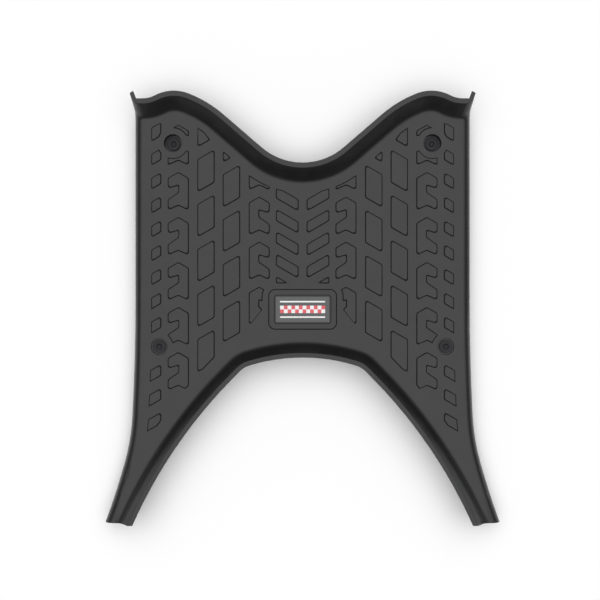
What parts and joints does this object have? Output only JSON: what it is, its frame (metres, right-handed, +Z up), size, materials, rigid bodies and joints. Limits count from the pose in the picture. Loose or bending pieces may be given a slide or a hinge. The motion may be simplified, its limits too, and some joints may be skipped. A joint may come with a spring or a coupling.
{
  "type": "scooter floor mat",
  "caption": "Moulded rubber floor mat for a step-through scooter: flat tread floor, raised front and rear arch lips, turned-down sides, screwed to the footboard.",
  "frame": {"origin": "middle of the mat's box in plan, on the plane of the four screw tips that it stands on", "axes": "+X to the rider's right, +Y forward, +Z up out of the tread"},
  "size_m": [0.381, 0.413, 0.0375],
  "materials": {
    "rubber": "matt moulded black rubber",
    "plate": "satin printed inlay",
    "screws": "black-finished steel"
  },
  "bodies": {
    "root": {"mat": "rubber", "badge_plate": "plate", "front_screws": "screws", "rear_screws": "screws"}
  },
  "joints": []
}
